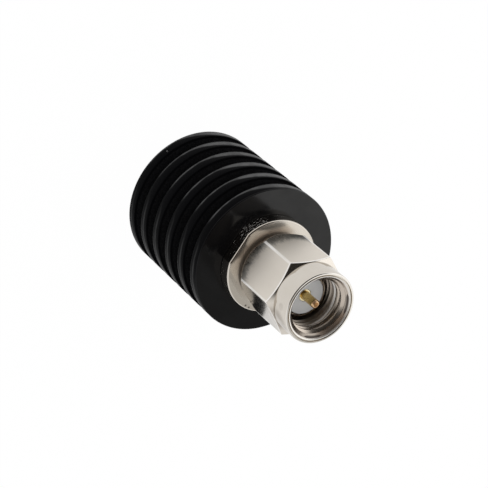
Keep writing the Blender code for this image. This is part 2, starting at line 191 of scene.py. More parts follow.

# Colours of the finishes and of the painted highlights and shade. A pair is blended by a pattern or, at the
# tip of the pin, by a mask.
DYED_BLACK = ((0.0014, 0.0014, 0.0017), (0.0024, 0.0024, 0.0029))
# Paler black of the grooves and fin sides: painted light lifting their shade
GROOVE_BLACK_PAINTED_LIGHT = ((0.0040, 0.0040, 0.0044), (0.0110, 0.0110, 0.0118))
# Painted highlight on the rims of the sink
RIM_PAINTED_HIGHLIGHT = (0.100, 0.100, 0.101)
PALE_SPECK = (0.45, 0.45, 0.44)
NICKEL = ((0.64, 0.60, 0.545), (0.585, 0.54, 0.48))
# Painted brown shade on the flange face beside the nut
NICKEL_PAINTED_BROWN_SHADE = (0.47, 0.375, 0.29)
SCUFFED_NICKEL = (0.80, 0.80, 0.80)
DARK_PIT = (0.10, 0.09, 0.08)
# Matt facets, their colour painted lighter for the light they catch
MATT_NICKEL_PAINTED_LIGHT = (0.80, 0.745, 0.67)
# Painted shade inside the bore and mouth
BORE_NICKEL_PAINTED_SHADE = (0.47, 0.405, 0.345)
# Burnish and painted highlight of the nut's edges
BURNISH_AND_HIGHLIGHT = (0.93, 0.91, 0.88)
# Painted shade and smudge on the nose
NOSE_SHADE_AND_SMUDGE = (0.30, 0.265, 0.23)
# Painted dark reflection at the rear of the matt facets
REAR_FACET_PAINTED_REFLECTION = (0.14, 0.14, 0.135)
# Faint painted dark reflection on the lower facet
LOWER_FACET_PAINTED_REFLECTION = (0.14, 0.135, 0.13)
# Painted shade in the mouth
MOUTH_PAINTED_SHADE = (0.045, 0.038, 0.033)
GOLD = ((0.80, 0.58, 0.23), (0.60, 0.42, 0.14))
# Painted highlight on the gold wider than the pin
GOLD_PAINTED_HIGHLIGHT = (0.97, 0.87, 0.60)
# Copper of the worn tip, and the painted shade of its middle
COPPER_AND_PAINTED_SHADE = ((0.84, 0.57, 0.34), (0.33, 0.17, 0.07))
MILKY_WHITE = ((0.56, 0.56, 0.56), (0.63, 0.63, 0.625))
RUBBER = ((0.012, 0.012, 0.012), (0.028, 0.027, 0.026))
SILVER = ((0.78, 0.77, 0.74), (0.62, 0.60, 0.56))
BRASS = ((0.72, 0.55, 0.28), (0.58, 0.42, 0.20))
BRONZE = ((0.62, 0.42, 0.24), (0.46, 0.30, 0.17))
CERAMIC = ((0.80, 0.79, 0.75), (0.72, 0.71, 0.67))
GLAZE = ((0.030, 0.030, 0.034), (0.045, 0.043, 0.045))

TURN_STEPS = 144
PIN_STEPS = 96
THREAD_STEPS = 96
CORNER_STEPS = 4
SHARP_ANGLE = math.radians(32)
MERGE_DISTANCE = 1e-7


class Value:
    """One number inside a material, so that its maths reads as plain sums."""

    def __init__(self, finish, socket):
        self.finish = finish
        self.socket = socket

    def _sum(self, operation, first, second):
        return self.finish.node("ShaderNodeMath", {"operation": operation}, {0: first, 1: second})

    def __add__(self, other):
        return self._sum("ADD", self, other)

    __radd__ = __add__

    def __sub__(self, other):
        return self._sum("SUBTRACT", self, other)

    def __rsub__(self, other):
        return self._sum("SUBTRACT", other, self)

    def __mul__(self, other):
        return self._sum("MULTIPLY", self, other)

    __rmul__ = __mul__

    def __truediv__(self, other):
        return self._sum("DIVIDE", self, other)

    def __mod__(self, other):
        return self._sum("FLOORED_MODULO", self, other)

    def __pow__(self, other):
        return self._sum("POWER", self, other)

    def __abs__(self):
        return self.finish.node("ShaderNodeMath", {"operation": "ABSOLUTE"}, {0: self})


class Finish:
    """The nodes of one material or of the world."""

    def __init__(self, owner):
        owner.use_nodes = True
        self.owner = owner
        self.tree = owner.node_tree
        self.shader = self.tree.nodes.get("Principled BSDF")

    def node(self, kind, settings=None, inputs=None, output=0):
        """Add a node, set it up, feed its sockets and give back one of its outputs."""
        node = self.tree.nodes.new(kind)
        for name, value in (settings or {}).items():
            setattr(node, name, value)
        for name, value in (inputs or {}).items():
            self.feed(node.inputs[name], value)
        return Value(self, node.outputs[output])

    def feed(self, socket, value):
        if isinstance(value, Value):
            self.tree.links.new(value.socket, socket)
        else:
            socket.default_value = value

    def set(self, **inputs):
        """Feed the shader's sockets, whose names are given with _ for a space."""
        for name, value in inputs.items():
            self.feed(self.shader.inputs[name.replace("_", " ")], value)

    def place(self):
        return self.node("ShaderNodeTexCoord", output="Object")

    def along(self, vector):
        """The X, Y and Z of a vector."""
        parts = self.node("ShaderNodeSeparateXYZ", inputs={0: vector})
        return [Value(self, output) for output in parts.socket.node.outputs]

    def stretched(self, vector, scale):
        settings = {"operation": "MULTIPLY"}
        return self.node("ShaderNodeVectorMath", settings, {0: vector, 1: scale})

    def noise(self, vector, scale, detail, distortion=0.0):
        inputs = {"Vector": vector, "Scale": scale, "Detail": detail, "Distortion": distortion}
        return self.node("ShaderNodeTexNoise", inputs=inputs)

    def line_noise(self, value, scale, detail):
        """Noise along one number, such as the marks of a lathe along a radius."""
        settings = {"noise_dimensions": "1D"}
        return self.node("ShaderNodeTexNoise", settings, {"W": value, "Scale": scale, "Detail": detail})

    def between(self, value, low, high, to_low=0.0, to_high=1.0):
        """Ease from one level to another as the value goes from low to high."""
        settings = {"interpolation_type": "SMOOTHSTEP"}
        inputs = {0: value, 1: low, 2: high, 3: to_low, 4: to_high}
        return self.node("ShaderNodeMapRange", settings, inputs)

    def mix(self, factor, first, second):
        """Blend two colours."""
        first = (*first, 1.0) if isinstance(first, tuple) else first
        second = (*second, 1.0) if isinstance(second, tuple) else second
        return self.node("ShaderNodeMix", {"data_type": "RGBA"}, {0: factor, 6: first, 7: second}, output=2)

    def bump(self, height, strength, distance):
        inputs = {"Height": height, "Strength": strength, "Distance": distance}
        return self.node("ShaderNodeBump", inputs=inputs)

    def spot(self, vector, centre, size):
        """1 at a point, fading to 0 at a distance of the given size."""
        settings = {"operation": "DISTANCE"}
        away = self.node("ShaderNodeVectorMath", settings, {0: vector, 1: centre}, output="Value")
        return self.between(away, size * 0.5, size, 1.0, 0.0)

    def radius(self, x, y):
        """Distance from the axis."""
        return (x * x + y * y) ** 0.5

    def towards(self, x, y, turn):
        """Distance from the axis in the direction of one angle round it."""
        return x * math.cos(turn) + y * math.sin(turn)


def new_finish(name):
    return Finish(bpy.data.materials.new(name))


def lathe_profile(points):
    """A mesh that holds only a line of (radius, height) points, ready to be turned."""
    shape = bmesh.new()
    corners = [shape.verts.new((radius, 0, height)) for radius, height in points]
    for first, second in zip(corners, corners[1:]):
        shape.edges.new((first, second))
    return shape


def turned(points, steps=TURN_STEPS, ring=False):
    """Turn a profile about the axis into a closed body. A ring closes on its first point."""
    shape = lathe_profile(points)
    if ring:
        shape.verts.ensure_lookup_table()
        shape.edges.new((shape.verts[-1], shape.verts[0]))
    bmesh.ops.spin(shape, geom=shape.verts[:] + shape.edges[:], cent=(0, 0, 0), axis=(0, 0, 1),
                   angle=math.tau, steps=steps, use_merge=True)
    bmesh.ops.remove_doubles(shape, verts=shape.verts, dist=MERGE_DISTANCE)
    bmesh.ops.recalc_face_normals(shape, faces=shape.faces)
    return shape


def soften(shape, width, segments, chosen):
    """Round the sharp edges whose middle the given test picks."""
    edges = [edge for edge in shape.edges
             if len(edge.link_faces) == 2 and edge.calc_face_angle() > SHARP_ANGLE
             and chosen((edge.verts[0].co + edge.verts[1].co) / 2)]
    bmesh.ops.bevel(shape, geom=edges, offset=width, offset_type="OFFSET", affect="EDGES",
                    segments=segments, profile=0.5, material=-1, clamp_overlap=True)


def rounded_corner(radius, height, width, end=1):
    """Points round an outer corner of a profile, from its side to its end face.

    end is +1 where the end face looks up and -1 where it looks down.
    """
    points = []
    for step in range(CORNER_STEPS + 1):
        angle = math.radians(90) * step / CORNER_STEPS
        points.append((radius - width * (1 - math.cos(angle)),
                       height - end * width * (1 - math.sin(angle))))
    return points


def new_object(name, shape):
    mesh = bpy.data.meshes.new(name)
    shape.to_mesh(mesh)
    shape.free()
    obj = bpy.data.objects.new(name, mesh)
    bpy.context.scene.collection.objects.link(obj)
    return obj


def machine(obj, cutters):
    """Join, cut or trim a body with (operation, shape) pairs, one after another."""
    tools = []
    for operation, shape in cutters:
        tool = new_object(f"{obj.name}_tool", shape)
        step = obj.modifiers.new(tool.name, "BOOLEAN")
        step.operation = operation
        step.object = tool
        step.solver = "EXACT"
        tools.append(tool)
    graph = bpy.context.evaluated_depsgraph_get()
    made = bpy.data.meshes.new_from_object(obj.evaluated_get(graph))
    obj.modifiers.clear()
    obj.data = made
    for tool in tools:
        bpy.data.objects.remove(tool)
    return obj


def finish_piece(obj, node, body, finish):
    """Shade a piece, put it in place of its CAD node and give it its finish."""
    obj.data.materials.clear()
    obj.data.materials.append(finish.owner)
    obj.data.shade_smooth()
    obj.data.set_sharp_from_angle(angle=SHARP_ANGLE)
    even = obj.modifiers.new("Even shading", "WEIGHTED_NORMAL")
    even.keep_sharp = True
    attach(obj, body)
    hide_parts(node)


def make_heat_sink():
    """Six turned fins with rounded edges on one core, bored for the connector."""
    profile = [(0, CHAMBER_FLOOR), (CHAMBER_RADIUS, CHAMBER_FLOOR), (CHAMBER_RADIUS, SHANK_FLOOR),
               (SHANK_BORE_RADIUS, SHANK_FLOOR), (SHANK_BORE_RADIUS, SINK_LENGTH)]
    for index in range(FIN_COUNT):
        front = SINK_LENGTH - index * FIN_PITCH
        rear = front - FIN_THICKNESS
        profile += rounded_corner(SINK_RADIUS, front, FIN_EDGE)[::-1]
        profile += rounded_corner(SINK_RADIUS, rear, FIN_EDGE, end=-1)
        if index < FIN_COUNT - 1:
            profile += [(CORE_RADIUS, rear), (CORE_RADIUS, rear - (FIN_PITCH - FIN_THICKNESS))]
    profile.append((0, 0))
    return new_object("finned_heat_sink", turned(profile))


def make_connector_body():
    """Shank, flange with two wrench flats, barrel for the nut and the thin nose."""
    groove_front = BARREL_GROOVE_CENTRE + BARREL_GROOVE_HALF
    groove_rear = BARREL_GROOVE_CENTRE - BARREL_GROOVE_HALF
    profile = [(INSULATOR_BORE_RADIUS, NOSE_FACE)]
    profile += rounded_corner(NOSE_RADIUS, NOSE_FACE, NOSE_EDGE)[::-1]
    profile += [(NOSE_RADIUS, BARREL_END)]
    profile += rounded_corner(BARREL_RADIUS, BARREL_END, NOSE_EDGE)[::-1]
    profile += [(BARREL_RADIUS, groove_front), (RING_GROOVE_RADIUS, groove_front),
                (RING_GROOVE_RADIUS, groove_rear), (BARREL_RADIUS, groove_rear),
                (BARREL_RADIUS, FLANGE_FACE), (FLANGE_RADIUS, FLANGE_FACE), (FLANGE_RADIUS, FLANGE_FOOT)]
    profile += [(SHANK_RADIUS, FLANGE_FOOT), (SHANK_RADIUS, SHANK_END), (REAR_BORE_RADIUS, SHANK_END),
                (REAR_BORE_RADIUS, INSULATOR_SEAT), (INSULATOR_BORE_RADIUS, INSULATOR_SEAT)]
    shape = turned(profile, ring=True)
    for side in (1, -1):
        everything = shape.verts[:] + shape.edges[:] + shape.faces[:]
        cut = bmesh.ops.bisect_plane(shape, geom=everything, dist=MERGE_DISTANCE,
                                     plane_co=(side * FLANGE_FLAT_RADIUS, 0, 0), plane_no=(side, 0, 0),
                                     clear_outer=True)
        rim = [part for part in cut["geom_cut"] if isinstance(part, bmesh.types.BMEdge)]
        bmesh.ops.edgeloop_fill(shape, edges=rim)
    bmesh.ops.recalc_face_normals(shape, faces=shape.faces)
    for height, width in ((FLANGE_FACE, FLANGE_EDGE), (FLANGE_FOOT, FLANGE_EDGE / 2)):
        soften(shape, width, segments=5,
               chosen=lambda middle: abs(middle.z - height) < MERGE_DISTANCE
               and math.hypot(middle.x, middle.y) > FLANGE_FLAT_RADIUS - FLANGE_EDGE)
    return new_object("turned_connector_body", shape)


def chamfered_space():
    """What the chamfers leave of the nut's bar: a cone at its rear and a blunt one at its front."""
    clear = 1.3 * NUT_FLAT_RADIUS
    slope = math.tan(NUT_FRONT_CHAMFER)
    crown = 0.9 * NUT_NOSE_RADIUS
    rear_reach = (clear - NUT_REAR_RADIUS) / math.tan(NUT_REAR_CHAMFER)
    top = NUT_FRONT + (NUT_NOSE_RADIUS - crown) * slope
    space = turned([(0, top), (crown, top), (clear, NUT_FRONT - (clear - NUT_NOSE_RADIUS) * slope),
                    (clear, NUT_REAR + rear_reach), (NUT_REAR_RADIUS, NUT_REAR), (0, NUT_REAR)])
    bmesh.ops.rotate(space, verts=space.verts, cent=(0, 0, 0), matrix=Matrix.Rotation(NUT_TURN, 3, "Z"))
    return space


def hexagon_bar():
    """The nut's hexagonal bar with chamfered ends, its corners and front edges rounded."""
    corner = NUT_FLAT_RADIUS / math.cos(math.radians(30))
    length = 1.1 * (NUT_FRONT - NUT_REAR)
    placed = Matrix.Translation((0, 0, NUT_REAR + length / 2)) @ Matrix.Rotation(NUT_TURN, 4, "Z")
    blank = bmesh.new()
    bmesh.ops.create_cone(blank, cap_ends=True, segments=6, radius1=corner, radius2=corner,
                          depth=length, matrix=placed)
    bmesh.ops.recalc_face_normals(blank, faces=blank.faces)
    bar = machine(new_object("threaded_coupling_nut", blank), [("INTERSECT", chamfered_space())])
    shape = bmesh.new()
    shape.from_mesh(bar.data)
    bmesh.ops.remove_doubles(shape, verts=shape.verts, dist=MERGE_DISTANCE)
    soften(shape, NUT_EDGE, segments=6,
           chosen=lambda middle: middle.z > NUT_REAR + MERGE_DISTANCE
           and math.hypot(middle.x, middle.y) > NUT_NOSE_RADIUS)
    shape.to_mesh(bar.data)
    shape.free()
    return bar


def nut_nose():
    """The round front of the nut, its outer edge rounded, with a fine groove turned round the mouth."""
    middle = (NUT_REAR + NUT_FRONT) / 2
    bottom = NUT_MOUTH - MOUTH_GROOVE_DEPTH
    profile = [(0, NUT_MOUTH), (MOUTH_GROOVE_RADIUS - MOUTH_GROOVE_HALF, NUT_MOUTH),
               (MOUTH_GROOVE_RADIUS - MOUTH_GROOVE_HALF * 0.5, bottom),
               (MOUTH_GROOVE_RADIUS + MOUTH_GROOVE_HALF * 0.5, bottom),
               (MOUTH_GROOVE_RADIUS + MOUTH_GROOVE_HALF, NUT_MOUTH)]
    profile += rounded_corner(NUT_NOSE_RADIUS, NUT_MOUTH, MOUTH_EDGE)[::-1]
    return turned(profile + [(NUT_NOSE_RADIUS, middle), (0, middle)])


def nut_bore():
    """The space for barrel, retaining ring and thread relief, and the lead-in at the mouth."""
    past = NUT_MOUTH - NUT_REAR
    edge = MOUTH_RADIUS + MOUTH_INNER_EDGE
    profile = [(0, NUT_MOUTH + past), (edge, NUT_MOUTH + past)]
    profile += [(edge - MOUTH_INNER_EDGE * inwards, NUT_MOUTH - MOUTH_INNER_EDGE * down)
                for inwards, down in MOUTH_INNER_STEPS]
    profile += [(THREAD_MINOR_RADIUS, NUT_MOUTH - MOUTH_LEAD_LENGTH), (THREAD_MINOR_RADIUS, THREAD_END),
                (RELIEF_RADIUS, THREAD_END), (RELIEF_RADIUS, RELIEF_END),
                (NUT_BORE_RADIUS, RELIEF_END), (NUT_BORE_RADIUS, GROOVE_FRONT),
                (GROOVE_RADIUS, GROOVE_FRONT), (GROOVE_RADIUS, GROOVE_REAR),
                (NUT_BORE_RADIUS, GROOVE_REAR), (NUT_BORE_RADIUS, NUT_REAR - past), (0, NUT_REAR - past)]
    return turned(profile)


def thread_tap():
    """A tap that leaves the right-hand 60 degree thread: one pitch of its tooth spun up a helix."""
    core = (NUT_BORE_RADIUS + THREAD_MINOR_RADIUS) / 2
    flank = (THREAD_MAJOR_RADIUS - core) * math.tan(math.radians(30))
    tooth = 2 * flank + THREAD_ROOT_FLAT
    shape = lathe_profile([(core, 0), (THREAD_MAJOR_RADIUS, flank),
                           (THREAD_MAJOR_RADIUS, flank + THREAD_ROOT_FLAT),
                           (core, tooth), (core, THREAD_PITCH)])
    spare = 4
    turns = math.ceil((NUT_MOUTH - RELIEF_END) / THREAD_PITCH) + spare
    bmesh.ops.spin(shape, geom=shape.verts[:] + shape.edges[:], cent=(0, 0, 0), axis=(0, 0, 1),
                   dvec=(0, 0, THREAD_PITCH / THREAD_STEPS), angle=math.tau * turns,
                   steps=THREAD_STEPS * turns, use_merge=False)
    bmesh.ops.remove_doubles(shape, verts=shape.verts, dist=MERGE_DISTANCE)
    crest = (tooth + THREAD_PITCH) / 2
    down = THREAD_CREST_HEIGHT - crest - spare * THREAD_PITCH
    bmesh.ops.rotate(shape, verts=shape.verts, cent=(0, 0, 0), matrix=Matrix.Rotation(THREAD_START, 3, "Z"))
    bmesh.ops.translate(shape, verts=shape.verts, vec=(0, 0, down))
    for height, outer in ((THREAD_END - THREAD_PITCH / 8, False), (NUT_MOUTH + THREAD_PITCH / 2, True)):
        everything = shape.verts[:] + shape.edges[:] + shape.faces[:]
        bmesh.ops.bisect_plane(shape, geom=everything, dist=MERGE_DISTANCE, plane_co=(0, 0, height),
                               plane_no=(0, 0, 1), clear_outer=outer, clear_inner=not outer)
    bmesh.ops.holes_fill(shape, edges=[edge for edge in shape.edges if edge.is_boundary], sides=0)
    bmesh.ops.recalc_face_normals(shape, faces=shape.faces)
    return shape


def make_coupling_nut():
    """Hexagon bar, round nose, bores and the thread."""
    return machine(hexagon_bar(), [("UNION", nut_nose()), ("DIFFERENCE", nut_bore()),
                                   ("DIFFERENCE", thread_tap())])


def make_front_insulator():
    """Dielectric disc with a faintly broken edge, flush with the nose."""
    rear = INSULATOR_SEAT + CONTACT_BORE_RADIUS - CONTACT_RADIUS
    profile = [(CONTACT_BORE_RADIUS, NOSE_FACE)]
    profile += rounded_corner(INSULATOR_RADIUS, NOSE_FACE, NOSE_EDGE)[::-1]
    profile += [(INSULATOR_RADIUS, rear), (CONTACT_BORE_RADIUS, rear)]
    return new_object("dielectric_disc", turned(profile, ring=True))


def make_centre_contact():
    """Pin with a rounded tip, the line behind it, its collar and the slotted socket."""
    dome = [(PIN_TIP_RADIUS * math.sin(turn), PIN_END - PIN_DOME_HEIGHT * (1 - math.cos(turn)))
            for turn in (math.radians(15 * step) for step in range(7))]
    profile = dome + [
        (PIN_RADIUS, PIN_END - PIN_TIP_LENGTH), (PIN_RADIUS, SHOULDER), (CONTACT_RADIUS, SHOULDER),
        (CONTACT_RADIUS, COLLAR_FRONT), (COLLAR_RADIUS, COLLAR_FRONT), (COLLAR_RADIUS, COLLAR_REAR),
        (CONTACT_RADIUS, COLLAR_REAR), (CONTACT_RADIUS, SOCKET_END), (SOCKET_RADIUS, SOCKET_END),
        (SOCKET_RADIUS, SOCKET_END + SOCKET_DEPTH), (0, SOCKET_END + SOCKET_DEPTH)]
    contact = new_object("pin_and_line", turned(profile, steps=PIN_STEPS))
    cuts = []
    for size in ((4 * CONTACT_RADIUS, SLOT_WIDTH), (SLOT_WIDTH, 4 * CONTACT_RADIUS)):
        slot = bmesh.new()
        bmesh.ops.create_cube(slot, size=1.0)
        bmesh.ops.scale(slot, vec=(*size, 2 * SOCKET_SLOT_LENGTH), verts=slot.verts)
        bmesh.ops.translate(slot, vec=(0, 0, SOCKET_END), verts=slot.verts)
        cuts.append(("DIFFERENCE", slot))
    return machine(contact, cuts)


def make_seal_ring():
    """Rubber washer round the foot of the nose."""
    profile = [(SEAL_INNER_RADIUS, SEAL_TOP)]
    profile += rounded_corner(BARREL_RADIUS, SEAL_TOP, SEAL_EDGE)[::-1]
    profile += [(BARREL_RADIUS, SEAL_FOOT), (SEAL_INNER_RADIUS, SEAL_FOOT)]
    return new_object("rubber_seal_ring", turned(profile, ring=True))


def marks_of_lathe(finish, x, y, z):
    """Fine rings: along the radius on faces and along the height on round sides."""
    along = finish.radius(x, y) + z
    fine = finish.line_noise(along, 14000.0, detail=3.0)
    broad = finish.line_noise(along, 2600.0, detail=1.0)
    return fine * 0.7 + broad * 0.3


def black_anodised():
    """Dyed anodised aluminium: nearly black, with a painted highlight round each rim and painted lighter in
    its grooves, and glossier on the front face.
    """
    finish = new_finish("black_anodised")
    place = finish.place()
    x, y, z = finish.along(place)
    radius = finish.radius(x, y)
    marks = marks_of_lathe(finish, x, y, z)
    cloud = finish.noise(place, 420.0, detail=4.0, distortion=0.4)
    grain = finish.noise(place, 9000.0, detail=2.0)
    wander = finish.noise(place, 700.0, detail=3.0)
    speck = finish.spot(place, SINK_SPECK, SINK_SPECK_SIZE)
    above_rear = (z - (SINK_LENGTH - FIN_THICKNESS)) % FIN_PITCH
    at_rim = finish.between(radius, SINK_RADIUS - FIN_EDGE * 2.5, SINK_RADIUS - FIN_EDGE * 1.5)
    # The rims get a painted highlight: a band whose height, width and strength change with the side as the
    # light falls, and a painted line along each rim's rear edge
    side = y / SINK_RADIUS
    wide = finish.between(side, -0.95, -0.55, 1.0, 0.0)
    low = finish.between(side, 0.05, 0.30)
    middle = RIM_LINE_HEIGHT + (wide + low) * (RIM_BAND_HEIGHT - RIM_LINE_HEIGHT)
    middle = middle + (wander - 0.5) * RIM_WANDER
    half = RIM_LINE_HALF + wide * (RIM_BAND_HALF - RIM_LINE_HALF)
    band = finish.between(abs(above_rear - middle) / half, 0.35, 1.0, 1.0, 0.0)
    level = 0.62 + wide * 0.38 - finish.between(side, -0.22, -0.02) * 0.60
    level = level + finish.between(side, 0.10, 0.60) * 0.26
    rear_line = finish.between(above_rear, *REAR_LINE_FADE, 1.0, 0.0)
    both_sides = finish.between(side, 0.52, 0.74) * 1.5 + finish.between(side, -0.90, -0.60, 0.7, 0.0)
    rear_line = rear_line * both_sides
    band = (band * level + rear_line) * finish.between(wander, 0.35, 0.60, 0.65, 1.1) * at_rim
    film = finish.mix(cloud, *DYED_BLACK)
    # Painted light: the grooves and fin sides take a paler black, lifting the shade that falls in them
    in_groove = finish.between(radius, SINK_RADIUS - FIN_EDGE * 3, SINK_RADIUS - FIN_EDGE, 1.0, 0.0)
    in_groove = in_groove * finish.between(z, SINK_LENGTH - FIN_EDGE * 2, SINK_LENGTH - FIN_EDGE, 1.0, 0.0)
    coarse = finish.between(finish.noise(place, 7500.0, detail=3.0), 0.36, 0.68)
    film = finish.mix(in_groove, film, finish.mix(coarse, *GROOVE_BLACK_PAINTED_LIGHT))
    # The rims take the painted highlight
    film = finish.mix(band, film, RIM_PAINTED_HIGHLIGHT)
    front = finish.between(z, SINK_LENGTH - FIN_EDGE, SINK_LENGTH - FIN_EDGE * 0.2)
    dull = finish.between(finish.towards(x, y, SINK_DULL_SIDE), 0.0, SINK_RADIUS * 0.5)
    finish.set(Base_Color=finish.mix(speck, film, PALE_SPECK),
               Roughness=0.28 + cloud * 0.08 + marks * 0.06,
               Specular_IOR_Level=0.012,
               Coat_Weight=front * (0.62 + cloud * 0.42) * (1.0 - dull * 0.55),
               Coat_Roughness=0.15,
               Coat_IOR=1.45,
               Normal=finish.bump(marks * 0.8 + grain * 0.2, 0.12, 0.000012))
    return finish


def plated(finish, place, marks):
    """Colour, roughness and height of a turned, plated surface, which both nickel finishes share."""
    cloud = finish.noise(place, 500.0, detail=4.0, distortion=0.5)
    grain = finish.noise(place, 12000.0, detail=2.0)
    colour = finish.mix(cloud, *NICKEL)
    return colour, 0.06 + marks * 0.07 + cloud * 0.03, marks * 0.12 + grain * 0.04


def body_nickel():
    """Nickel plate of the turned body: bright, scuffed round the flange, with two small pits and a painted
    brown shade on the flange face beside the nut.
    """
    finish = new_finish("nickel_plate_body")
    place = finish.place()
    x, y, z = finish.along(place)
    radius = finish.radius(x, y)
    colour, roughness, height = plated(finish, place, marks_of_lathe(finish, x, y, z))
    round_wall = finish.between(radius, FLANGE_RADIUS - 0.00005, FLANGE_RADIUS - 0.00002)
    flat_wall = finish.between(abs(x), FLANGE_FLAT_RADIUS - 0.00003, FLANGE_FLAT_RADIUS - 0.00001)
    wall = round_wall + flat_wall - round_wall * flat_wall
    wall = wall * finish.between(z, FLANGE_FACE - FLANGE_EDGE, FLANGE_FACE - FLANGE_EDGE * 0.6, 1.0, 0.0)
    streaks = finish.noise(finish.stretched(place, (1.0, 1.0, 5.0)), 2600.0, detail=3.0)
    spanner = finish.spot(place, FLANGE_SCUFF, FLANGE_SCUFF_SIZE)
    scuffs = wall * finish.between(streaks + spanner * 0.12, 0.66, 0.78)
    # Painted brown shade on the flange face under the nut, strongest on the side of the matt corner; the
    # same masks also make it rougher
    under_nut = finish.between(radius, NUT_REAR_RADIUS, FLANGE_FLAT_RADIUS, 1.0, 0.0)
    corner_side = finish.between(finish.towards(x, y, NUT_MATT_CORNER),
                            FLANGE_RADIUS * 0.25, FLANGE_RADIUS * 0.70)
    on_face = finish.between(z, FLANGE_FACE + 0.00001, FLANGE_FACE + 0.00003, 1.0, 0.0)
    on_face = on_face * finish.between(z, FLANGE_FACE - 0.00003, FLANGE_FACE - 0.00001)
    colour = finish.mix(under_nut * corner_side * on_face * 0.75, colour, NICKEL_PAINTED_BROWN_SHADE)
    under_nut = (under_nut * 0.28 + corner_side * 0.13) * on_face
    for pit in FLANGE_PITS:
        colour = finish.mix(finish.spot(place, pit, FLANGE_PIT_SIZE) * 0.85, colour, DARK_PIT)
    finish.set(Base_Color=finish.mix(scuffs * 0.6, colour, SCUFFED_NICKEL),
               Metallic=1.0 - scuffs * 0.42,
               Roughness=roughness + wall * 0.08 + scuffs * 0.2 + under_nut,
               Normal=finish.bump(height + streaks * wall * 0.6, 0.3, 0.00002))
    return finish


